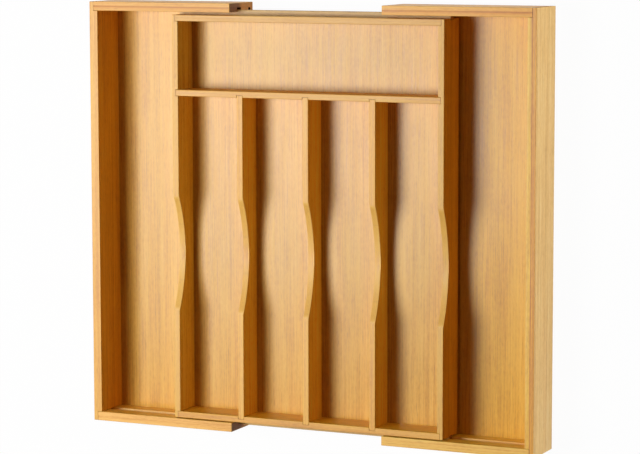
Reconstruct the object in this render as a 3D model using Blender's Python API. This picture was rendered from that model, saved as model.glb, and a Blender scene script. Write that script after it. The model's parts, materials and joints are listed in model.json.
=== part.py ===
"""Expandable bamboo cutlery tray.

The tray lies flat with its open side up: X runs across it, Y from its front to its back, Z up.
The origin is on the ground, under the middle of the tray. The tray is drawn pulled fully open.

A centre tray carries two rails, which run in grooves in the arms of the left and right trays.
Each outer tray slides on its own, from fully open to the place where the arms meet.
"""

import math

import bmesh
import bpy
from mathutils import Vector

MM = 0.001

# The whole tray
OPEN_WIDTH = 500.0 * MM
TRAY_DEPTH = 448.0 * MM
TRAY_HEIGHT = 55.0 * MM
TRAVEL = 85.0 * MM

# Clearances
FIT_GAP = 0.3 * MM
RUNNING_GAP = 2.2 * MM
SIDE_GAP = 3.0 * MM
LIFT_GAP = 3.7 * MM
RIM_DROP = 1.0 * MM

# Boards of the two outer trays
OUTER_STOCK = 9.5 * MM
OUTER_LIP = 4.5 * MM
OUTER_PANEL = 4.0 * MM
OUTER_PANEL_LIFT = 6.3 * MM
OUTER_PANEL_BITE = 3.7 * MM
OUTER_PANEL_SETBACK = 20.0 * MM

# Boards of the centre tray
CENTRE_STOCK = 6.5 * MM
CENTRE_LIP = 3.3 * MM
CENTRE_PANEL = 4.0 * MM
CENTRE_PANEL_LIFT = 2.7 * MM
CENTRE_PANEL_BITE = 2.7 * MM
DIVIDER_STOCK = 6.5 * MM
CROSS_BITE = 2.7 * MM
DIVIDER_BACK_BITE = 2.2 * MM
DIVIDER_FRONT_BITE = 2.7 * MM
BACK_COMPARTMENT = 71.3 * MM
LONG_COMPARTMENTS = 4

# Finger dips in the long walls and dividers
DIP_CHORD = 122.0 * MM
DIP_DEPTH = 14.4 * MM
DIP_FROM_FRONT = 175.0 * MM

# Rails and their grooves
RAIL_HEIGHT = 8.3 * MM
RAIL_BOTTOM = 28.5 * MM
RAIL_ENGAGEMENT = 3.2 * MM
RAIL_PLAY = 1.6 * MM
RAIL_HOUSING = 1.5 * MM
FORWARD_SHARE = 0.625

# Stop pegs, one near the open end of each arm
PEG_DIAMETER = 3.0 * MM
PEG_INSET = 8.0 * MM
PEG_ENGAGEMENT = 2.4 * MM
PEG_CHAMFER = 0.4 * MM

# How far a cutter runs past the face that it cuts
OVERRUN = 2.0 * MM

DIP_FACETS = 120
PEG_FACETS = 24
SHARP_ANGLE = math.radians(40)

# Heights
OUTER_PANEL_TOP = OUTER_PANEL_LIFT + OUTER_PANEL
CENTRE_BOTTOM = OUTER_PANEL_TOP + LIFT_GAP
CENTRE_RIM = TRAY_HEIGHT - RIM_DROP
CENTRE_PANEL_BOTTOM = CENTRE_BOTTOM + CENTRE_PANEL_LIFT
CENTRE_PANEL_TOP = CENTRE_PANEL_BOTTOM + CENTRE_PANEL
RAIL_TOP = RAIL_BOTTOM + RAIL_HEIGHT
RAIL_MIDDLE = (RAIL_BOTTOM + RAIL_TOP) / 2

# Places across the tray, measured from its middle
OUTER_FACE_X = OPEN_WIDTH / 2
OUTER_INNER_X = OUTER_FACE_X - OUTER_STOCK
ARM_TAIL_X = OUTER_FACE_X - OUTER_LIP - FIT_GAP
ARM_END_X = TRAVEL + FIT_GAP / 2
PEG_X = ARM_END_X + PEG_INSET
CENTRE_FACE_X = OUTER_INNER_X - TRAVEL - SIDE_GAP
CENTRE_INNER_X = CENTRE_FACE_X - CENTRE_STOCK
COMPARTMENT_WIDTH = (2 * CENTRE_INNER_X - (LONG_COMPARTMENTS - 1) * DIVIDER_STOCK) / LONG_COMPARTMENTS
DIVIDER_PITCH = COMPARTMENT_WIDTH + DIVIDER_STOCK

# Places along the tray, measured from its middle
OUTER_BACK_Y = TRAY_DEPTH / 2
ARM_INNER_Y = OUTER_BACK_Y - OUTER_STOCK
GROOVE_DEPTH = RAIL_ENGAGEMENT + RAIL_PLAY
CENTRE_SHIFT = -FORWARD_SHARE * RAIL_PLAY
CENTRE_HALF_DEPTH = ARM_INNER_Y - RUNNING_GAP
CENTRE_BACK_Y = CENTRE_SHIFT + CENTRE_HALF_DEPTH
CENTRE_FRONT_Y = CENTRE_SHIFT - CENTRE_HALF_DEPTH
CENTRE_BACK_INNER_Y = CENTRE_BACK_Y - CENTRE_STOCK
CENTRE_FRONT_INNER_Y = CENTRE_FRONT_Y + CENTRE_STOCK
CROSS_BACK_Y = CENTRE_BACK_INNER_Y - BACK_COMPARTMENT
CROSS_FRONT_Y = CROSS_BACK_Y - DIVIDER_STOCK
DIP_Y = CENTRE_FRONT_Y + DIP_FROM_FRONT

# Colours are linear, with a roughness beside each
SIDE_BAMBOO = ((0.62, 0.33, 0.10), 0.42)
ARM_BAMBOO = ((0.60, 0.31, 0.09), 0.42)
CENTRE_BAMBOO = ((0.66, 0.36, 0.11), 0.40)
DIVIDER_BAMBOO = ((0.64, 0.34, 0.10), 0.40)
RAIL_BAMBOO = ((0.52, 0.34, 0.17), 0.45)
FLOOR_BAMBOO = ((0.72, 0.44, 0.19), 0.38)
PEG_BAMBOO = ((0.55, 0.32, 0.12), 0.50)


def clear_scene():
    """Remove what the scene holds already."""
    for old in list(bpy.data.objects):
        bpy.data.objects.remove(old, do_unlink=True)


def body_frame(name, place):
    """An empty that carries the pieces of one moving body."""
    frame = bpy.data.objects.new(name, None)
    frame.location = place
    bpy.context.scene.collection.objects.link(frame)
    return frame


def put_in_scene(name, frame, shape, middle):
    """Turn a bmesh round its own middle into an object that its body's frame carries."""
    mesh = bpy.data.meshes.new(name)
    shape.to_mesh(mesh)
    shape.free()
    piece = bpy.data.objects.new(name, mesh)
    piece.parent = frame
    piece.location = Vector(middle) - frame.location
    bpy.context.scene.collection.objects.link(piece)
    return piece


def block(name, frame, x, y, z):
    """A rectangular solid over three ranges, each given in either order."""
    ranges = [sorted(pair) for pair in (x, y, z)]
    middle = [(low + high) / 2 for low, high in ranges]
    size = [high - low for low, high in ranges]
    shape = bmesh.new()
    bmesh.ops.create_cube(shape, size=1)
    bmesh.ops.scale(shape, vec=size, verts=shape.verts)
    return put_in_scene(name, frame, shape, middle)


def rod(name, frame, middle, axis, radius, length, facets):
    """A round solid along an axis, shaded smooth round its side."""
    shape = bmesh.new()
    bmesh.ops.create_cone(
        shape, cap_ends=True, segments=facets, radius1=radius, radius2=radius, depth=length
    )
    turn = Vector((0, 0, 1)).rotation_difference(Vector(axis)).to_matrix()
    bmesh.ops.rotate(shape, verts=shape.verts, cent=(0, 0, 0), matrix=turn)
    piece = put_in_scene(name, frame, shape, middle)
    piece.data.shade_smooth()
    piece.data.set_sharp_from_angle(angle=SHARP_ANGLE)
    return piece


def cut(piece, cutter):
    """Take a cutter's shape out of a piece, and keep the cutter out of sight."""
    cutter.hide_render = True
    cutter.display_type = "WIRE"
    step = piece.modifiers.new(cutter.name, "BOOLEAN")
    step.operation = "DIFFERENCE"
    step.solver = "EXACT"
    step.object = cutter


def cut_block(piece, what, x, y, z):
    """Cut a rectangular groove, dado, rabbet or slot."""
    cut(piece, block("cut_" + piece.name + "_" + what, piece.parent, x, y, z))


def cut_rod(piece, what, middle, axis, radius, length, facets):
    """Cut a round hole or a round-bottomed dip."""
    cut(piece, rod("cut_" + piece.name + "_" + what, piece.parent, middle, axis, radius, length, facets))


def finish(piece, bamboo):
    """Give a piece its own material."""
    colour, roughness = bamboo
    material = bpy.data.materials.new(piece.name)
    material.use_nodes = True
    shader = material.node_tree.nodes["Principled BSDF"]
    shader.inputs["Base Color"].default_value = (*colour, 1)
    shader.inputs["Roughness"].default_value = roughness
    shader.inputs["Metallic"].default_value = 0
    piece.data.materials.append(material)


def around(middle, width):
    """The range of a given width about a middle."""
    return (middle - width / 2, middle + width / 2)


def cut_dip(piece, middle_x, thickness):
    """Cut the round finger dip into a long board's rim."""
    radius = (DIP_CHORD * DIP_CHORD / 4 + DIP_DEPTH * DIP_DEPTH) / (2 * DIP_DEPTH)
    centre = (middle_x, DIP_Y, CENTRE_RIM - DIP_DEPTH + radius)
    cut_rod(piece, "dip", centre, (1, 0, 0), radius, thickness + 2 * OVERRUN, DIP_FACETS)


def centre_floor_panel(frame):
    """The floor, let into grooves in the four walls of the centre tray."""
    half_width = CENTRE_INNER_X + CENTRE_PANEL_BITE
    piece = block(
        "centre_floor_panel",
        frame,
        (-half_width, half_width),
        (CENTRE_FRONT_INNER_Y - CENTRE_PANEL_BITE, CENTRE_BACK_INNER_Y + CENTRE_PANEL_BITE),
        (CENTRE_PANEL_BOTTOM, CENTRE_PANEL_TOP),
    )
    finish(piece, FLOOR_BAMBOO)


def centre_panel_groove(piece, x, y):
    """Cut the groove that the centre tray's floor sits in."""
    cut_block(piece, "floor_groove", x, y, (CENTRE_PANEL_BOTTOM - FIT_GAP, CENTRE_PANEL_TOP + FIT_GAP))


def centre_long_wall(frame, name, side):
    """The left or right wall of the centre tray: rabbeted ends, floor groove, dado and dip."""
    face_x = side * CENTRE_FACE_X
    inner_x = side * CENTRE_INNER_X
    past_inner_x = side * (CENTRE_INNER_X - OVERRUN)
    notch_x = side * (CENTRE_FACE_X - CENTRE_LIP)
    whole_height = (CENTRE_BOTTOM - OVERRUN, CENTRE_RIM + OVERRUN)
    piece = block(
        name, frame, (inner_x, face_x), (CENTRE_FRONT_Y, CENTRE_BACK_Y), (CENTRE_BOTTOM, CENTRE_RIM)
    )
    groove_x = side * (CENTRE_INNER_X + CENTRE_PANEL_BITE + FIT_GAP)
    back_notch_y = CENTRE_BACK_INNER_Y - FIT_GAP
    front_notch_y = CENTRE_FRONT_INNER_Y + FIT_GAP
    centre_panel_groove(piece, (past_inner_x, groove_x), (front_notch_y - OVERRUN, back_notch_y + OVERRUN))
    notch = (past_inner_x, notch_x)
    cut_block(piece, "back_rabbet", notch, (back_notch_y, CENTRE_BACK_Y + OVERRUN), whole_height)
    cut_block(piece, "front_rabbet", notch, (CENTRE_FRONT_Y - OVERRUN, front_notch_y), whole_height)
    cut_block(
        piece,
        "cross_dado",
        (past_inner_x, side * (CENTRE_INNER_X + CROSS_BITE + FIT_GAP)),
        (CROSS_FRONT_Y - FIT_GAP, CROSS_BACK_Y + FIT_GAP),
        (CENTRE_PANEL_TOP, CENTRE_RIM + OVERRUN),
    )
    rail_housing(piece, "back", (inner_x - side * OVERRUN, face_x + side * OVERRUN), CENTRE_BACK_Y, 1)
    rail_housing(piece, "front", (inner_x - side * OVERRUN, face_x + side * OVERRUN), CENTRE_FRONT_Y, -1)
    cut_dip(piece, (inner_x + face_x) / 2, CENTRE_STOCK)
    finish(piece, CENTRE_BAMBOO)


def rail_housing(piece, end, x, face_y, toward):
    """Cut the shallow housing that a rail is glued into, on a face that looks along +Y or -Y."""
    cut_block(
        piece,
        end + "_rail_housing",
        x,
        (face_y - toward * RAIL_HOUSING, face_y + toward * OVERRUN),
        (RAIL_BOTTOM - FIT_GAP, RAIL_TOP + FIT_GAP),
    )


def divider_places():
    """The places across the tray of the dividers between the long compartments."""
    last = LONG_COMPARTMENTS / 2 - 1
    return [(index - last) * DIVIDER_PITCH for index in range(LONG_COMPARTMENTS - 1)]


def centre_cross_wall(frame, name, face_y, toward):
    """The back or front wall of the centre tray: floor groove on its inside, rail housing outside."""
    half_width = CENTRE_FACE_X - CENTRE_LIP - FIT_GAP
    past_ends = (-half_width - OVERRUN, half_width + OVERRUN)
    inner_y = face_y - toward * CENTRE_STOCK
    piece = block(name, frame, (-half_width, half_width), (inner_y, face_y), (CENTRE_BOTTOM, CENTRE_RIM))
    centre_panel_groove(
        piece, past_ends, (inner_y - toward * OVERRUN, inner_y + toward * (CENTRE_PANEL_BITE + FIT_GAP))
    )
    rail_housing(piece, "outer", past_ends, face_y, toward)
    finish(piece, CENTRE_BAMBOO)
    return piece


def centre_front_wall(frame):
    """The front wall, which also takes the front ends of the dividers."""
    piece = centre_cross_wall(frame, "centre_front_wall", CENTRE_FRONT_Y, -1)
    for number, place_x in enumerate(divider_places(), start=1):
        cut_block(
            piece,
            "dado_" + str(number),
            around(place_x, DIVIDER_STOCK + 2 * FIT_GAP),
            (CENTRE_FRONT_INNER_Y - DIVIDER_FRONT_BITE - FIT_GAP, CENTRE_FRONT_INNER_Y + OVERRUN),
            (CENTRE_PANEL_TOP, CENTRE_RIM + OVERRUN),
        )


def cross_divider(frame):
    """The board between the back compartment and the long ones."""
    half_width = CENTRE_INNER_X + CROSS_BITE
    piece = block(
        "cross_divider",
        frame,
        (-half_width, half_width),
        (CROSS_FRONT_Y, CROSS_BACK_Y),
        (CENTRE_PANEL_TOP + FIT_GAP, CENTRE_RIM),
    )
    for number, place_x in enumerate(divider_places(), start=1):
        cut_block(
            piece,
            "dado_" + str(number),
            around(place_x, DIVIDER_STOCK + 2 * FIT_GAP),
            (CROSS_FRONT_Y - OVERRUN, CROSS_FRONT_Y + DIVIDER_BACK_BITE + FIT_GAP),
            (CENTRE_PANEL_TOP, CENTRE_RIM + OVERRUN),
        )
    finish(piece, DIVIDER_BAMBOO)


def long_divider(frame, name, place_x):
    """A board between two long compartments, with its finger dip."""
    piece = block(
        name,
        frame,
        around(place_x, DIVIDER_STOCK),
        (CENTRE_FRONT_INNER_Y - DIVIDER_FRONT_BITE, CROSS_FRONT_Y + DIVIDER_BACK_BITE),
        (CENTRE_PANEL_TOP + FIT_GAP, CENTRE_RIM),
    )
    cut_dip(piece, place_x, DIVIDER_STOCK)
    finish(piece, DIVIDER_BAMBOO)


def rail(frame, name, face_y, toward):
    """A rail across the centre tray, with a slot each side of its middle for the stop pegs."""
    outer_y = face_y + toward * (RUNNING_GAP + RAIL_ENGAGEMENT)
    piece = block(
        name,
        frame,
        (-CENTRE_FACE_X, CENTRE_FACE_X),
        (face_y - toward * (RAIL_HOUSING - FIT_GAP), outer_y),
        (RAIL_BOTTOM, RAIL_TOP),
    )
    clear_of_peg = PEG_DIAMETER / 2 + FIT_GAP
    slot_depth = PEG_ENGAGEMENT + RAIL_PLAY + FIT_GAP
    for side, label in ((-1, "left"), (1, "right")):
        cut_block(
            piece,
            label + "_slot",
            (side * (PEG_X - TRAVEL - clear_of_peg), side * (PEG_X + clear_of_peg)),
            (outer_y - toward * slot_depth, outer_y + toward * OVERRUN),
            around(RAIL_MIDDLE, 2 * clear_of_peg),
        )
    finish(piece, RAIL_BAMBOO)


def outer_panel_groove(piece, x, y):
    """Cut the groove that an outer tray's floor sits in."""
    cut_block(piece, "floor_groove", x, y, (OUTER_PANEL_LIFT - FIT_GAP, OUTER_PANEL_TOP + FIT_GAP))


def side_wall(frame, name, side):
    """The wall at the far side of an outer tray, rabbeted over the ends of its two arms."""
    past_inner_x = side * (OUTER_INNER_X - OVERRUN)
    notch_x = side * (OUTER_FACE_X - OUTER_LIP)
    notch_y = ARM_INNER_Y - FIT_GAP
    piece = block(
        name,
        frame,
        (side * OUTER_INNER_X, side * OUTER_FACE_X),
        (-OUTER_BACK_Y, OUTER_BACK_Y),
        (0, TRAY_HEIGHT),
    )
    for toward, end in ((1, "back"), (-1, "front")):
        cut_block(
            piece,
            end + "_rabbet",
            (past_inner_x, notch_x),
            (toward * notch_y, toward * (OUTER_BACK_Y + OVERRUN)),
            (-OVERRUN, TRAY_HEIGHT + OVERRUN),
        )
    outer_panel_groove(
        piece,
        (past_inner_x, side * (OUTER_INNER_X + OUTER_PANEL_BITE + FIT_GAP)),
        (-notch_y - OVERRUN, notch_y + OVERRUN),
    )
    finish(piece, SIDE_BAMBOO)


def arm(frame, name, side, toward):
    """A back or front board of an outer tray, grooved for the rail, the floor and its stop peg."""
    past_ends = (side * (ARM_END_X - OVERRUN), side * (ARM_TAIL_X + OVERRUN))
    past_inner_y = toward * (ARM_INNER_Y - OVERRUN)
    groove_bottom_y = toward * (ARM_INNER_Y + GROOVE_DEPTH)
    piece = block(
        name,
        frame,
        (side * ARM_END_X, side * ARM_TAIL_X),
        (toward * ARM_INNER_Y, toward * OUTER_BACK_Y),
        (0, TRAY_HEIGHT),
    )
    cut_block(
        piece,
        "rail_groove",
        past_ends,
        (past_inner_y, groove_bottom_y),
        (RAIL_BOTTOM - FIT_GAP, RAIL_TOP + FIT_GAP),
    )
    outer_panel_groove(
        piece, past_ends, (past_inner_y, toward * (ARM_INNER_Y + OUTER_PANEL_BITE + FIT_GAP))
    )
    bore_middle = (side * PEG_X, (groove_bottom_y + toward * OUTER_BACK_Y) / 2, RAIL_MIDDLE)
    bore_length = OUTER_STOCK - GROOVE_DEPTH + 2 * OVERRUN
    bore_radius = PEG_DIAMETER / 2 + FIT_GAP
    cut_rod(piece, "peg_bore", bore_middle, (0, 1, 0), bore_radius, bore_length, PEG_FACETS)
    finish(piece, ARM_BAMBOO)


def outer_floor_panel(frame, name, side):
    """The floor of an outer tray, which stops short of the arms' open ends."""
    half_depth = ARM_INNER_Y + OUTER_PANEL_BITE
    piece = block(
        name,
        frame,
        (side * (ARM_END_X + OUTER_PANEL_SETBACK), side * (OUTER_INNER_X + OUTER_PANEL_BITE)),
        (-half_depth, half_depth),
        (OUTER_PANEL_LIFT, OUTER_PANEL_TOP),
    )
    finish(piece, FLOOR_BAMBOO)


def stop_peg(frame, name, side, toward):
    """A dowel through an arm, whose tip stands in the groove and runs in the rail's slot."""
    head_y = OUTER_BACK_Y - FIT_GAP
    tip_y = ARM_INNER_Y + GROOVE_DEPTH - RAIL_PLAY - PEG_ENGAGEMENT
    middle = (side * PEG_X, toward * (head_y + tip_y) / 2, RAIL_MIDDLE)
    piece = rod(name, frame, middle, (0, 1, 0), PEG_DIAMETER / 2, head_y - tip_y, PEG_FACETS)
    chamfer = piece.modifiers.new("chamfer", "BEVEL")
    chamfer.width = PEG_CHAMFER
    chamfer.segments = 1
    chamfer.limit_method = "ANGLE"
    chamfer.angle_limit = SHARP_ANGLE
    finish(piece, PEG_BAMBOO)


def centre_tray():
    """The fixed middle of the tray, with its dividers and its two rails."""
    frame = body_frame("centre_tray", (0, 0, RAIL_MIDDLE))
    centre_floor_panel(frame)
    centre_long_wall(frame, "centre_left_wall", -1)
    centre_long_wall(frame, "centre_right_wall", 1)
    centre_cross_wall(frame, "centre_back_wall", CENTRE_BACK_Y, 1)
    centre_front_wall(frame)
    cross_divider(frame)
    for number, place_x in enumerate(divider_places(), start=1):
        long_divider(frame, "long_divider_" + str(number), place_x)
    rail(frame, "back_rail", CENTRE_BACK_Y, 1)
    rail(frame, "front_rail", CENTRE_FRONT_Y, -1)


def outer_tray(label, side):
    """One sliding tray. Its frame lies on the line that it slides along."""
    frame = body_frame(label + "_tray", (side * ARM_END_X, 0, RAIL_MIDDLE))
    side_wall(frame, label + "_side_wall", side)
    outer_floor_panel(frame, label + "_floor_panel", side)
    for toward, end in ((1, "back"), (-1, "front")):
        arm(frame, label + "_" + end + "_arm", side, toward)
        stop_peg(frame, label + "_" + end + "_stop_peg", side, toward)


def main():
    clear_scene()
    centre_tray()
    outer_tray("left", -1)
    outer_tray("right", 1)


main()
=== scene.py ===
"""The looks of an expandable bamboo cutlery tray: eased boards, laminated bamboo, light and camera."""

import json
import math

import bmesh
import bpy
from mathutils import Matrix, Vector


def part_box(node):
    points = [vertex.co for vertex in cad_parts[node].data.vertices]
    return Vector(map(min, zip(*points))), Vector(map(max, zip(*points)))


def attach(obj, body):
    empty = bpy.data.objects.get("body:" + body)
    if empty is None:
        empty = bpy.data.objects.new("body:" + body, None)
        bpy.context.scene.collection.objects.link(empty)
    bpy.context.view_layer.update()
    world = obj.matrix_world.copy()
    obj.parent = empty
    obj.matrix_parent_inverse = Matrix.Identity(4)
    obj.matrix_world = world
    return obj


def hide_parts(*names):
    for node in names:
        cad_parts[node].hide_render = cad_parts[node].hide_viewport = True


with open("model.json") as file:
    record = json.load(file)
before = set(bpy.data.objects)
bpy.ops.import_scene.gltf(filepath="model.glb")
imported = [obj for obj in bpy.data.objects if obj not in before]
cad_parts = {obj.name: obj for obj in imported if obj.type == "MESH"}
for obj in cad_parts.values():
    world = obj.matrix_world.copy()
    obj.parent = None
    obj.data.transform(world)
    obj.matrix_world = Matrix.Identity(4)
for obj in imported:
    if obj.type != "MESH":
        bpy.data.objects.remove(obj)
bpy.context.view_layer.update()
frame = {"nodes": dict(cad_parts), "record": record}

MM = 0.001
X, Y, Z = 0, 1, 2
PRINCIPLED = "Principled BSDF"

# Camera, from the photograph's perspective
IMAGE_WIDTH_PIXELS = 640
SENSOR_WIDTH = 36.0
FOCAL_PIXELS = 2610.3
CAMERA_PLACE = (1119.75 * MM, 316.31 * MM, 2462.79 * MM)
CAMERA_YAW = math.radians(24.607)
CAMERA_PITCH = math.radians(6.865)
CAMERA_ROLL = math.radians(0.1)

# Key light, a soft box above the tray's left. Before its spin, the first of its two sizes lies along
# the tray (Y) and the second across it. A positive spin turns it counter-clockwise, seen from above.
KEY_PLACE = (-880 * MM, 0 * MM, 1800 * MM)
KEY_TARGET = (0, 0, 0)
KEY_SIZE = (800 * MM, 860 * MM)
KEY_POWER = 35.0
KEY_SPIN = math.radians(20)

# Low card, a long and low light beside the tray's right, for its outer face
CARD_PLACE = (1200 * MM, 300 * MM, 27 * MM)
CARD_TARGET = (0, 0, 27 * MM)
CARD_SIZE = (1600 * MM, 50 * MM)
CARD_POWER = 8.0

# Surround: white where it is seen or mirrored, and giving almost no light of its own
WHITE = (1, 1, 1, 1)
SKY_STRENGTH = 0.004
STAGE_HALF_SIZE = 4.0
STAGE_DROP = 0.1 * MM
STAGE_COLOUR = (0.90, 0.90, 0.895, 1)
STAGE_ROUGHNESS = 0.9
STAGE_GLOW_SHARE = 0.97

# Boards: how their outer arrises are eased, and how these are told from other edges
EASE = 0.55 * MM
EASE_SEGMENTS = 3
EASE_PROFILE = 0.5
MERGE = 0.001 * MM
ON_FACE = 0.02 * MM
ALONG_AXIS = 0.999
FLAT_ANGLE = math.radians(0.5)
ARRIS_ANGLE = math.radians(40)
SMOOTH_ANGLE = math.radians(35)
FLAT_FACE_WEIGHT = 100
ARRIS = "arris"

# Which way each board's fibres run, and which way it is thin
GRAIN = {
    "centre_floor_panel": (Y, Z),
    "centre_back_wall": (X, Y),
    "centre_front_wall": (X, Y),
    "centre_left_wall": (Y, X),
    "centre_right_wall": (Y, X),
    "cross_divider": (X, Y),
    "long_divider_1": (Y, X),
    "long_divider_2": (Y, X),
    "long_divider_3": (Y, X),
    "back_rail": (X, Y),
    "front_rail": (X, Y),
    "left_side_wall": (Y, X),
    "left_back_arm": (X, Y),
    "left_front_arm": (X, Y),
    "left_floor_panel": (Y, Z),
    "right_side_wall": (Y, X),
    "right_back_arm": (X, Y),
    "right_front_arm": (X, Y),
    "right_floor_panel": (Y, Z),
}
PEGS = ("left_back_stop_peg", "left_front_stop_peg", "right_back_stop_peg", "right_front_stop_peg")
PEG_GRAIN = (Y, X)
FIRST_BOARD_SEED = 1
FIRST_PEG_SEED = 40

# Bamboo colours, linear: dark, middle and light. They are read off along the tone at TONE_STOPS.
PALETTES = {
    "floor_bamboo": ((0.57, 0.266, 0.021), (0.725, 0.392, 0.044), (0.81, 0.480, 0.082)),
    "centre_bamboo": ((0.62, 0.285, 0.020), (0.80, 0.425, 0.046), (0.88, 0.515, 0.084)),
    "divider_bamboo": ((0.70, 0.305, 0.022), (0.88, 0.440, 0.046), (0.94, 0.530, 0.080)),
    "side_bamboo": ((0.66, 0.270, 0.020), (0.83, 0.400, 0.044), (0.91, 0.500, 0.080)),
    "arm_bamboo": ((0.74, 0.320, 0.040), (0.93, 0.465, 0.085), (0.97, 0.555, 0.125)),
    "rail_bamboo": ((0.45, 0.250, 0.050), (0.62, 0.380, 0.095), (0.74, 0.490, 0.150)),
    "peg_bamboo": ((0.14, 0.060, 0.020), (0.20, 0.090, 0.030), (0.26, 0.130, 0.050)),
}
TONE_STOPS = (0.18, 0.52, 0.88)

# Tint of a single board, over its palette. Partly painted light: the right-hand boards and the front arms are
# lighter where the key light falls off, and the right floor panel, the back wall and the cross divider are
# yellower against the sheen on them.
UNTINTED = (1, 1, 1)
BOARD_TINTS = {
    "centre_floor_panel": (0.98, 0.995, 1.00),
    "centre_back_wall": (0.94, 0.88, 0.80),
    "centre_front_wall": (1.05, 0.97, 1.00),
    "centre_left_wall": (1.02, 1.00, 1.00),
    "centre_right_wall": (0.99, 0.97, 0.85),
    "cross_divider": (0.89, 0.86, 0.70),
    "left_back_arm": (0.96, 0.96, 0.98),
    "left_floor_panel": (0.99, 1.00, 0.92),
    "right_floor_panel": (1.02, 1.03, 0.60),
    "right_side_wall": (1.10, 1.15, 1.13),
    "left_front_arm": (1.07, 1.12, 1.30),
    "right_back_arm": (1.05, 1.07, 1.05),
    "right_front_arm": (1.07, 1.22, 1.20),
}

# Noise drawn out along the fibres: length and width of its streaks, how far it is moved so that no
# two kinds are alike, and its detail
FIBRE_NOISE = {
    "broad": (420 * MM, 22 * MM, 0.0, 1.0),
    "patch": (60 * MM, 14 * MM, 1.7, 1.0),
    "streak": (220 * MM, 2.8 * MM, 3.1, 2.0),
    "fine": (70 * MM, 1.2 * MM, 7.7, 3.0),
    "fleck": (14 * MM, 0.8 * MM, 11.3, 1.0),
    "mottle": (5 * MM, 1.5 * MM, 23.0, 1.0),
    "blush": (300 * MM, 11 * MM, 19.0, 1.0),
}
NOISE_ROUGHNESS = 0.6
NOISE_MIDDLE = 0.5

# Tone: how much each kind of noise and each strip's own shade move it about its middle. Both kinds
# of noise lie about NOISE_MIDDLE.
TONE_WEIGHTS = {"broad": 0.30, "patch": 0.34, "streak": 0.85, "fine": 1.00, "mottle": 0.45}
STRIP_TONE_WEIGHT = 0.16
TONE_MIDDLE = 0.52

# Strips on a board's broad face: their width, and how dark the glue lines between them are
FACE_STRIP = {"floor_bamboo": (42.0 * MM, 0.10), "rail_bamboo": (20.0 * MM, 0.3)}
USUAL_FACE_STRIP = (17.0 * MM, 0.35)
STRIP_SHIFT = 0.37
STRIP_SHADE_SEED = 0.5
GLUE_LINE_EDGE = (0.05 * MM, 0.30 * MM)
GLUE_LINE_TINT = (0.50, 0.30, 0.18, 1)

# Redder patches and dark flecks: the range of the noise over which they come up, share and tint
BLUSH_RANGE = (0.42, 0.68)
BLUSH_SHARE = 0.22
BLUSH_TINT = (1.0, 0.84, 0.72, 1)
FLECK_RANGE = (0.56, 0.80)
FLECK_SHARE = 0.34
FLECK_TINT = (0.42, 0.25, 0.12, 1)

# Layers through a board's thickness, from its low side to its high side: where, and the tint there
PLAIN = (1.00, 1.00, 1.00, 1)
GLUE = (0.70, 0.50, 0.20, 1)
THIN_GLUE = (0.90, 0.80, 0.70, 1)
RUDDY = (0.93, 0.82, 0.55, 1)
ROSY = (0.97, 0.92, 0.75, 1)
# painted light: the right wall's outer face is paled and greyed as if lit by the white surround
PAINTED_SURROUND_LIGHT = (0.93, 1.14, 2.90, 1)
PALE = (1.09, 1.26, 1.20, 1)
# painted highlight along the top's inner arris of the right wall
GLINT = (1.14, 1.40, 2.20, 1)
FAINT = (0.94, 0.88, 0.80, 1)
YELLOWED = (0.96, 1.16, 0.90, 1)
# painted light on broad faces in shade, as if lit more by bounce from the floors
PAINTED_BOUNCE = (1.21, 1.54, 2.60, 1)
TAN = (0.95, 0.87, 0.60, 1)
OLIVE = (1.03, 1.24, 0.70, 1)
THIN_BOARD = ((0.0, PLAIN), (0.46, PLAIN), (0.50, THIN_GLUE), (0.54, PLAIN), (1.0, PLAIN))
# a divider's face on its high side, which is in shade, gets painted light; the centre left wall gets it on
# both broad faces
PAINTED_BOUNCE_FACE = THIN_BOARD[:-1] + ((0.90, PLAIN), (0.98, PAINTED_BOUNCE))
PAINTED_BOUNCE_FACES = ((0.0, PAINTED_BOUNCE), (0.10, PLAIN)) + PAINTED_BOUNCE_FACE[1:]
OLIVE_FACE = THIN_BOARD[:-1] + ((0.90, PLAIN), (0.98, OLIVE))
BACK_ARM = (
    (0.0, ROSY), (0.20, ROSY), (0.28, RUDDY), (0.37, RUDDY),
    (0.42, GLUE), (0.54, GLUE), (0.60, PLAIN), (1.0, PLAIN),
)
FRONT_ARM = (
    (0.0, PLAIN), (0.28, PLAIN), (0.33, FAINT), (0.38, PLAIN), (0.64, PLAIN),
    (0.69, FAINT), (0.74, PLAIN), (0.94, PLAIN), (0.99, YELLOWED),
)
LEFT_WALL = ((0.0, PLAIN), (0.50, PLAIN), (0.56, FAINT), (0.80, FAINT), (0.86, PLAIN), (1.0, PLAIN))
RIGHT_WALL = (
    # a painted highlight along the top's inner arris
    (0.0, PLAIN), (0.03, GLINT), (0.14, GLINT), (0.18, PALE), (0.46, PALE),
    # the outer face gets painted light from the white surround
    (0.50, GLUE), (0.56, GLUE), (0.60, TAN), (0.95, TAN), (0.99, PAINTED_SURROUND_LIGHT),
)
LAYERS = {
    "centre_front_wall": OLIVE_FACE,
    "centre_left_wall": PAINTED_BOUNCE_FACES,
    "long_divider_1": PAINTED_BOUNCE_FACE,
    "long_divider_2": PAINTED_BOUNCE_FACE,
    "long_divider_3": PAINTED_BOUNCE_FACE,
    "left_side_wall": LEFT_WALL,
    "right_side_wall": RIGHT_WALL,
    "left_back_arm": BACK_ARM,
    "right_back_arm": BACK_ARM,
    "left_front_arm": FRONT_ARM,
    "right_front_arm": FRONT_ARM,
}

# Slanted cuts, as in the finger dips, are paler: partly the cut fibres' own colour and partly painted light
# and sheen that lift them to the tops' tone. The ranges are of the normal's share along the fibres.
SLANT_START = (0.02, 0.12)
SLANT_STOP = (0.5, 0.8)
SLANT_SHARE = 0.6
SLANT_COLOUR = (0.94, 0.55, 0.130, 1)
SLANT_DOT_SHARE = 0.35
SLANT_DOT_TINT = (0.70, 0.60, 0.50, 1)

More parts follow.
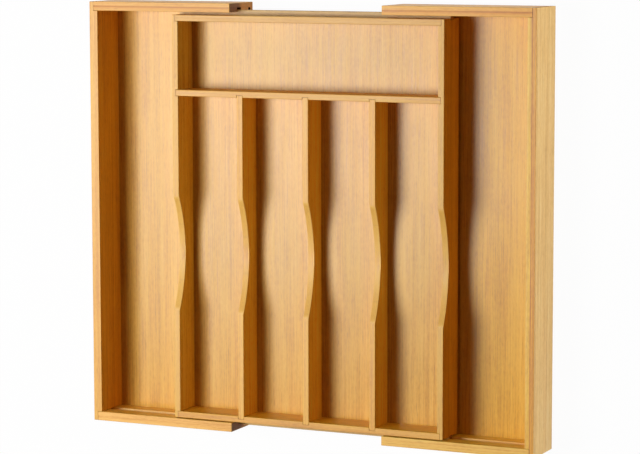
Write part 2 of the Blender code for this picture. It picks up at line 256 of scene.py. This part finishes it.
# End grain. An arm's changes from its foot to its rim: painted light from the floor makes it paler towards its
# foot, and it is darker towards its rim.
END_GRAIN = (0.30, 0.100, 0.018, 1)
END_SHARE = 0.75
ARM_END_GRAIN_AND_LIGHT = (
    (0.0, (0.67, 0.290, 0.077, 1)),
    (0.45, (0.565, 0.231, 0.051, 1)),
    (0.62, (0.14, 0.038, 0.010, 1)),
    (1.0, (0.11, 0.030, 0.008, 1)),
)
ARM_END_SHARE = 0.88
END_SHARPNESS = 3.0
END_DOT_SHARE = 0.5
END_DOT_TINT = (0.45, 0.30, 0.18, 1)

# Dots of the fibre bundles where these are cut: their spacing, and as a share of it, how far a dot
# is at its darkest and where it ends
DOT_SPACING = 0.9 * MM
DOT_REACH = (0.15, 0.40)

# Ledges of the grooves in an arm, between its foot and its rim: painted light on them, and painted shade where
# a groove ends open
LEDGE_PAINTED_LIGHT = (1.00, 0.66, 0.180, 1)
LEDGE_ABOVE_FOOT = (2 * MM, 4 * MM)
LEDGE_BELOW_RIM = (8 * MM, 6 * MM)
LEDGE_UPWARD = (0.7, 0.9)
MOUTH_PAINTED_SHADE = (0.10, 0.035, 0.008, 1)
MOUTH_REACH = (4 * MM, 14 * MM)

# Painted highlight along the eased arrises, paler in streaks
ARRIS_HIGHLIGHT_COLOUR = (0.92, 0.60, 0.18, 1)
ARRIS_HIGHLIGHT_RANGE = (0.35, 0.65)
ARRIS_HIGHLIGHT_SHARES = (0.10, 0.32)

# Lacquer: roughness where it is smoothest, and IOR. It is smooth on the floors, and thin on the arms.
LACQUER = {"floor_bamboo": (0.26, 1.37), "arm_bamboo": (0.40, 1.42)}
USUAL_LACQUER = (0.40, 1.49)
ROUGHNESS_RANGE = (0.3, 0.7)
ROUGHNESS_GAIN = 0.08
CUT_ROUGHNESS_RANGE = (0.03, 0.30)
CUT_ROUGHNESS_GAIN = 0.20

# Relief of the lacquer: fine streaks stand up, flecks and glue lines lie lower
FINE_RELIEF = 0.7
FLECK_RELIEF = -0.3
GLUE_LINE_DEPTH = 0.5
BUMP_STRENGTH = 0.35
BUMP_HEIGHT = 0.06 * MM


class Graph:
    """A tree of shader nodes, with short ways to add and link them."""

    # Sockets of a Mix node that mixes colours
    MIX_SHARE, MIX_FIRST, MIX_SECOND = 0, 6, 7
    MIX_RESULT = 2

    def __init__(self, tree):
        self.tree = tree

    def add(self, kind, inputs, **settings):
        """Add a node. An input is a number, a vector or another node's output."""
        node = self.tree.nodes.new(kind)
        for key, value in settings.items():
            setattr(node, key, value)
        for key, value in inputs.items():
            self.feed(node.inputs[key], value)
        return node

    def feed(self, socket, value):
        """Link an output to a socket, or set the socket to a value."""
        if isinstance(value, bpy.types.NodeSocket):
            self.tree.links.new(value, socket)
        else:
            socket.default_value = value

    def maths(self, operation, *values):
        """The result of a math node on one to three values."""
        return self.add("ShaderNodeMath", dict(enumerate(values)), operation=operation).outputs[0]

    def spread(self, value, low, high, to_low=0.0, to_high=1.0):
        """Stretch the range low to high over to_low to to_high, and clamp what lies outside."""
        inputs = {"Value": value, "From Min": low, "From Max": high, "To Min": to_low, "To Max": to_high}
        return self.add("ShaderNodeMapRange", inputs).outputs[0]

    def ramp(self, value, stops):
        """Colours read off along a value, from places and colours in rising order."""
        node = self.add("ShaderNodeValToRGB", {"Fac": value})
        elements = node.color_ramp.elements
        elements.remove(elements[1])
        elements[0].position, elements[0].color = stops[0]
        for place, colour in stops[1:]:
            elements.new(place).color = colour
        return node.outputs["Color"]

    def mix(self, share, first, second, blend="MIX"):
        """Mix a share of the second colour into the first."""
        inputs = {self.MIX_SHARE: share, self.MIX_FIRST: first, self.MIX_SECOND: second}
        return self.add("ShaderNodeMix", inputs, data_type="RGBA", blend_type=blend).outputs[self.MIX_RESULT]


class Bamboo(Graph):
    """Laminated, lacquered bamboo for one board, with its fibres along one axis."""

    def __init__(self, node, slot, grain, thin, seed):
        self.material = new_material(node + "_bamboo")
        super().__init__(self.material.node_tree)
        self.node, self.slot, self.seed = node, slot, seed
        self.grain, self.thin, self.across = grain, thin, X + Y + Z - grain - thin
        self.low, self.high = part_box(node)
        coordinates = self.add("ShaderNodeTexCoord", {})
        self.place = coordinates.outputs["Object"]
        self.along = self.add("ShaderNodeSeparateXYZ", {"Vector": self.place}).outputs
        self.normal = self.add("ShaderNodeSeparateXYZ", {"Vector": coordinates.outputs["Normal"]}).outputs
        self.toward_end = self.maths("ABSOLUTE", self.normal[grain])
        self.noise = {kind: self.fibres(*shape) for kind, shape in FIBRE_NOISE.items()}
        self.strip_width, self.line_share = FACE_STRIP.get(slot, USUAL_FACE_STRIP)
        self.strip_number, self.glue_line = self.strips()

        colour = self.wood()
        colour = self.cut_across(colour)
        if slot == "arm_bamboo":
            # painted light on the groove ledges, painted shade at the grooves' open ends
            colour = self.paint_ledge_light_and_mouth_shade(colour)
        shader = self.tree.nodes[PRINCIPLED]
        # the eased arrises get a painted highlight
        self.feed(shader.inputs["Base Color"], self.paint_arris_highlight(colour))
        self.lacquer(shader)

    def fibres(self, length, width, shift, detail):
        """Noise drawn out along the grain, with streaks of about that length and width."""
        scale = [1 / width] * 3
        scale[self.grain] = 1 / length
        moved = self.seed + shift
        shifted = self.add(
            "ShaderNodeMapping", {"Vector": self.place, "Location": (moved, -moved, 2 * moved), "Scale": scale}
        )
        inputs = {"Vector": shifted.outputs[0], "Scale": 1.0, "Detail": detail, "Roughness": NOISE_ROUGHNESS}
        return self.add("ShaderNodeTexNoise", inputs).outputs["Fac"]

    def strips(self):
        """Which strip a place lies in, and how near it is to a glue line: 1 on the line, 0 away from it."""
        in_widths = self.maths("DIVIDE", self.along[self.across], self.strip_width)
        counted = self.maths("ADD", in_widths, STRIP_SHIFT * self.seed)
        number = self.maths("FLOOR", counted)
        within = self.maths("FRACT", counted)
        to_line = self.maths("MINIMUM", within, self.maths("SUBTRACT", 1.0, within))
        line = self.spread(self.maths("MULTIPLY", to_line, self.strip_width), *GLUE_LINE_EDGE, 1.0, 0.0)
        return number, line

    def tone(self):
        """How light the wood is: each strip's own shade, and the streaks over it."""
        seeds = {"X": self.strip_number, "Y": float(self.seed), "Z": STRIP_SHADE_SEED}
        key = self.add("ShaderNodeCombineXYZ", seeds)
        shade = self.add("ShaderNodeTexWhiteNoise", {"Vector": key.outputs[0]}, noise_dimensions="3D")
        off_middle = self.maths("SUBTRACT", shade.outputs["Value"], NOISE_MIDDLE)
        tone = self.maths("MULTIPLY", off_middle, STRIP_TONE_WEIGHT)
        for kind, weight in TONE_WEIGHTS.items():
            off_middle = self.maths("SUBTRACT", self.noise[kind], NOISE_MIDDLE)
            tone = self.maths("MULTIPLY_ADD", off_middle, weight, tone)
        return self.maths("ADD", tone, TONE_MIDDLE)

    def wood(self):
        """Colour along the fibres, with redder patches, dark flecks, glue lines and layers; some layers carry
        painted light.
        """
        tint = BOARD_TINTS.get(self.node, UNTINTED)
        palette = [(*(part * share for part, share in zip(colour, tint)), 1) for colour in PALETTES[self.slot]]
        colour = self.ramp(self.tone(), list(zip(TONE_STOPS, palette)))
        blush = self.spread(self.noise["blush"], *BLUSH_RANGE)
        colour = self.mix(self.maths("MULTIPLY", blush, BLUSH_SHARE), colour, BLUSH_TINT, "MULTIPLY")
        fleck = self.spread(self.noise["fleck"], *FLECK_RANGE, 0.0, FLECK_SHARE)
        colour = self.mix(fleck, colour, FLECK_TINT, "MULTIPLY")
        line = self.maths("MULTIPLY", self.glue_line, self.line_share)
        colour = self.mix(line, colour, GLUE_LINE_TINT, "MULTIPLY")
        depth = self.spread(self.along[self.thin], self.low[self.thin], self.high[self.thin])
        layers = self.ramp(depth, LAYERS.get(self.node, THIN_BOARD))
        return self.mix(1.0, colour, layers, "MULTIPLY")

    def cut_across(self, colour):
        """Cut fibres are paler on a slant, partly painted light, and dark on the end, with the dots of their
        bundles; an arm's end is painted lighter towards its foot.
        """
        starts = self.spread(self.toward_end, *SLANT_START)
        slanted = self.maths("MULTIPLY", starts, self.spread(self.toward_end, *SLANT_STOP, SLANT_SHARE, 0.0))
        bundles = self.add("ShaderNodeTexVoronoi", {"Vector": self.place, "Scale": 1 / DOT_SPACING})
        dots = self.spread(bundles.outputs["Distance"], *DOT_REACH, 1.0, 0.0)
        slant_dots = self.maths("MULTIPLY", dots, SLANT_DOT_SHARE)
        slant_colour = self.mix(slant_dots, SLANT_COLOUR, SLANT_DOT_TINT, "MULTIPLY")
        # slanted cuts get their paler colour, partly painted light
        colour = self.mix(slanted, colour, slant_colour)
        end_share, end_grain_and_light = END_SHARE, END_GRAIN
        if self.slot == "arm_bamboo":
            end_share = ARM_END_SHARE
            # an arm's end grain gets painted light, paler towards its foot
            end_grain_and_light = self.ramp(self.spread(self.along[Z], self.low[Z], self.high[Z]), ARM_END_GRAIN_AND_LIGHT)
        end_colour = self.mix(end_share, colour, end_grain_and_light)
        end_dots = self.maths("MULTIPLY", dots, END_DOT_SHARE)
        end_colour = self.mix(end_dots, end_colour, END_DOT_TINT, "MULTIPLY")
        return self.mix(self.maths("POWER", self.toward_end, END_SHARPNESS), colour, end_colour)

    def paint_ledge_light_and_mouth_shade(self, colour):
        """Painted light on the lower faces of an arm's grooves, and painted shade at the grooves' open end."""
        below_rim = self.spread(self.along[Z], *(self.high[Z] - drop for drop in LEDGE_BELOW_RIM), 1.0, 0.0)
        above_foot = self.spread(self.along[Z], *(self.low[Z] + rise for rise in LEDGE_ABOVE_FOOT))
        faces_up = self.spread(self.normal[Z], *LEDGE_UPWARD)
        ledge = self.maths("MULTIPLY", faces_up, self.maths("MULTIPLY", below_rim, above_foot))
        open_end = self.high[X] if self.node.startswith("left_") else self.low[X]
        from_mouth = self.maths("ABSOLUTE", self.maths("SUBTRACT", self.along[X], open_end))
        ledge_light_and_shade = self.mix(self.spread(from_mouth, *MOUTH_REACH), MOUTH_PAINTED_SHADE, LEDGE_PAINTED_LIGHT)
        return self.mix(ledge, colour, ledge_light_and_shade)

    def paint_arris_highlight(self, colour):
        """Eased arrises are painted a little paler, a painted highlight along them."""
        arris = self.add("ShaderNodeAttribute", {}, attribute_name=ARRIS).outputs["Fac"]
        share = self.spread(self.noise["streak"], *ARRIS_HIGHLIGHT_RANGE, *ARRIS_HIGHLIGHT_SHARES)
        return self.mix(self.maths("MULTIPLY", arris, share), colour, ARRIS_HIGHLIGHT_COLOUR)

    def lacquer(self, shader):
        """Satin lacquer over the fibres, duller where they are cut."""
        smoothest, ior = LACQUER.get(self.slot, USUAL_LACQUER)
        fine, flecks = self.noise["fine"], self.noise["fleck"]
        roughness = self.spread(fine, *ROUGHNESS_RANGE, smoothest, smoothest + ROUGHNESS_GAIN)
        cut_roughness = self.spread(self.toward_end, *CUT_ROUGHNESS_RANGE, 0.0, CUT_ROUGHNESS_GAIN)
        self.feed(shader.inputs["Roughness"], self.maths("ADD", roughness, cut_roughness))
        relief = self.maths("MULTIPLY_ADD", fine, FINE_RELIEF, self.maths("MULTIPLY", flecks, FLECK_RELIEF))
        relief = self.maths("SUBTRACT", relief, self.maths("MULTIPLY", self.glue_line, GLUE_LINE_DEPTH))
        inputs = {"Height": relief, "Strength": BUMP_STRENGTH, "Distance": BUMP_HEIGHT}
        bump = self.add("ShaderNodeBump", inputs)
        self.feed(shader.inputs["Normal"], bump.outputs["Normal"])
        shader.inputs["IOR"].default_value = ior


def new_material(name):
    """A material with node tree and Principled shader, as Blender makes it."""
    material = bpy.data.materials.new(name)
    material.use_nodes = True
    return material


def lies_on_face(face, low, high):
    """True if a face lies in one of the six sides of its board's box, or slants."""
    for axis in (X, Y, Z):
        if abs(face.normal[axis]) > ALONG_AXIS:
            place = face.calc_center_median()[axis]
            return min(abs(place - low[axis]), abs(place - high[axis])) < ON_FACE
    return True


def is_arris(edge, low, high):
    """True for a sharp outer edge of a board, and not for the edge of a groove."""
    if len(edge.link_faces) != 2 or not edge.is_convex:
        return False
    if edge.calc_face_angle(0) < ARRIS_ANGLE:
        return False
    return all(lies_on_face(face, low, high) for face in edge.link_faces)


def lies_in_joint(edge, boxes):
    """True for an edge that meets another board over its whole length."""
    places = [(axis, corner.co[axis]) for corner in edge.verts for axis in (X, Y, Z)]
    return any(
        all(low[axis] - ON_FACE <= place <= high[axis] + ON_FACE for axis, place in places)
        for low, high in boxes
    )


def eased_board(node, neighbours):
    """A copy of a board with its outer arrises rounded over, and those faces marked."""
    low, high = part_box(node)
    shape = bmesh.new()
    shape.from_mesh(frame["nodes"][node].data)
    bmesh.ops.remove_doubles(shape, verts=shape.verts, dist=MERGE)
    bmesh.ops.dissolve_limit(shape, angle_limit=FLAT_ANGLE, verts=shape.verts, edges=shape.edges)
    shape.normal_update()
    boxes = [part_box(name) for name in neighbours]
    arrises = [edge for edge in shape.edges if is_arris(edge, low, high) and not lies_in_joint(edge, boxes)]
    rounded = bmesh.ops.bevel(
        shape,
        geom=arrises,
        offset=EASE,
        segments=EASE_SEGMENTS,
        profile=EASE_PROFILE,
        affect="EDGES",
        clamp_overlap=False,
    )
    shape.faces.index_update()
    marked = {face.index for face in rounded["faces"]}
    mesh = bpy.data.meshes.new(node + "_eased")
    shape.to_mesh(mesh)
    shape.free()
    arris = mesh.attributes.new(ARRIS, "FLOAT", "CORNER")
    for face in mesh.polygons:
        for corner in face.loop_indices:
            arris.data[corner].value = float(face.index in marked)
    mesh.shade_smooth()
    mesh.set_sharp_from_angle(angle=SMOOTH_ANGLE)
    piece = bpy.data.objects.new(node + "_eased", mesh)
    bpy.context.scene.collection.objects.link(piece)
    flat_faces_first = piece.modifiers.new("flat_faces_first", "WEIGHTED_NORMAL")
    flat_faces_first.mode = "FACE_AREA"
    flat_faces_first.weight = FLAT_FACE_WEIGHT
    flat_faces_first.keep_sharp = True
    return piece


def dress_boards():
    """Put an eased, finished board in the place of each board of the tray."""
    slots = {part["node"]: part["material_slot"] for part in frame["record"]["subparts"]}
    bodies = frame["record"]["behaviour"]["bodies"]
    body_of = {node: body for body, nodes in bodies.items() for node in nodes}
    for seed, (node, (grain, thin)) in enumerate(GRAIN.items(), start=FIRST_BOARD_SEED):
        neighbours = [name for name in bodies[body_of[node]] if name != node]
        piece = eased_board(node, neighbours)
        piece.data.materials.append(Bamboo(node, slots[node], grain, thin, seed).material)
        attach(piece, body_of[node])
        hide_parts(node)


def dress_pegs():
    """The stop pegs keep their shape and get bamboo with its fibres along them."""
    for seed, node in enumerate(PEGS, start=FIRST_PEG_SEED):
        mesh = frame["nodes"][node].data
        mesh.materials.clear()
        mesh.materials.append(Bamboo(node, "peg_bamboo", *PEG_GRAIN, seed).material)


def add_camera():
    """The camera at the photograph's place and angle."""
    right = Vector((math.cos(CAMERA_YAW), 0, -math.sin(CAMERA_YAW)))
    ahead = Vector((-math.sin(CAMERA_YAW), 0, -math.cos(CAMERA_YAW)))
    down = Vector((0, -1, 0))
    pitched_ahead = math.cos(CAMERA_PITCH) * ahead + math.sin(CAMERA_PITCH) * down
    pitched_down = math.cos(CAMERA_PITCH) * down - math.sin(CAMERA_PITCH) * ahead
    rolled_right = math.cos(CAMERA_ROLL) * right + math.sin(CAMERA_ROLL) * pitched_down
    rolled_down = math.cos(CAMERA_ROLL) * pitched_down - math.sin(CAMERA_ROLL) * right
    lens = bpy.data.cameras.new("camera")
    lens.sensor_width = SENSOR_WIDTH
    lens.lens = FOCAL_PIXELS * SENSOR_WIDTH / IMAGE_WIDTH_PIXELS
    camera = bpy.data.objects.new("camera", lens)
    turn = Matrix((rolled_right, -rolled_down, -pitched_ahead)).transposed()
    camera.matrix_world = Matrix.Translation(CAMERA_PLACE) @ turn.to_4x4()
    bpy.context.scene.collection.objects.link(camera)
    bpy.context.scene.camera = camera


def add_area_light(name, place, target, size, power, spin=0.0):
    """A rectangular soft light aimed at a point, turned about its own aim by an angle."""
    lamp = bpy.data.lights.new(name, "AREA")
    lamp.shape = "RECTANGLE"
    lamp.size, lamp.size_y = size
    lamp.energy = power
    light = bpy.data.objects.new(name, lamp)
    aim = Vector(target) - Vector(place)
    turn = aim.to_track_quat("-Z", "Y").to_matrix().to_4x4() @ Matrix.Rotation(spin, 4, "Z")
    light.matrix_world = Matrix.Translation(place) @ turn
    bpy.context.scene.collection.objects.link(light)


def seen_directly(graph):
    """1 where the camera, a reflection or a glass sees the surface, and 0 where it only lights."""
    rays = graph.add("ShaderNodeLightPath", {}).outputs
    seen = graph.maths("MAXIMUM", rays["Is Camera Ray"], rays["Is Glossy Ray"])
    return graph.maths("MAXIMUM", seen, rays["Is Transmission Ray"])


def add_sky():
    """A white surround that gives only a little light of its own."""
    world = bpy.data.worlds.new("sky")
    bpy.context.scene.world = world
    world.use_nodes = True
    world.node_tree.nodes.clear()
    graph = Graph(world.node_tree)
    strength = graph.spread(seen_directly(graph), 0.0, 1.0, SKY_STRENGTH, 1.0)
    background = graph.add("ShaderNodeBackground", {"Color": WHITE, "Strength": strength})
    graph.add("ShaderNodeOutputWorld", {"Surface": background.outputs[0]})


def add_floor():
    """A plain white floor, a hair under the boards' lower edges, that keeps the tray's shadow."""
    shape = bmesh.new()
    bmesh.ops.create_grid(shape, x_segments=1, y_segments=1, size=STAGE_HALF_SIZE)
    mesh = bpy.data.meshes.new("floor")
    shape.to_mesh(mesh)
    shape.free()
    floor = bpy.data.objects.new("floor", mesh)
    floor.location.z = -STAGE_DROP
    bpy.context.scene.collection.objects.link(floor)
    material = new_material("floor_paper")
    graph = Graph(material.node_tree)
    paper = graph.tree.nodes[PRINCIPLED]
    paper.inputs["Base Color"].default_value = STAGE_COLOUR
    paper.inputs["Roughness"].default_value = STAGE_ROUGHNESS
    paper.inputs["Specular IOR Level"].default_value = 0.0
    glow = graph.add("ShaderNodeEmission", {"Color": WHITE, "Strength": 1.0})
    share = graph.maths("MULTIPLY", seen_directly(graph), STAGE_GLOW_SHARE)
    both = graph.add("ShaderNodeMixShader", {0: share, 1: paper.outputs[0], 2: glow.outputs[0]})
    graph.feed(graph.tree.nodes["Material Output"].inputs["Surface"], both.outputs[0])
    mesh.materials.append(material)


add_camera()
dress_boards()
dress_pegs()
add_area_light("key_light", KEY_PLACE, KEY_TARGET, KEY_SIZE, KEY_POWER, KEY_SPIN)
add_area_light("low_card", CARD_PLACE, CARD_TARGET, CARD_SIZE, CARD_POWER)
add_sky()
add_floor()
bpy.context.scene.view_settings.view_transform = "Standard"
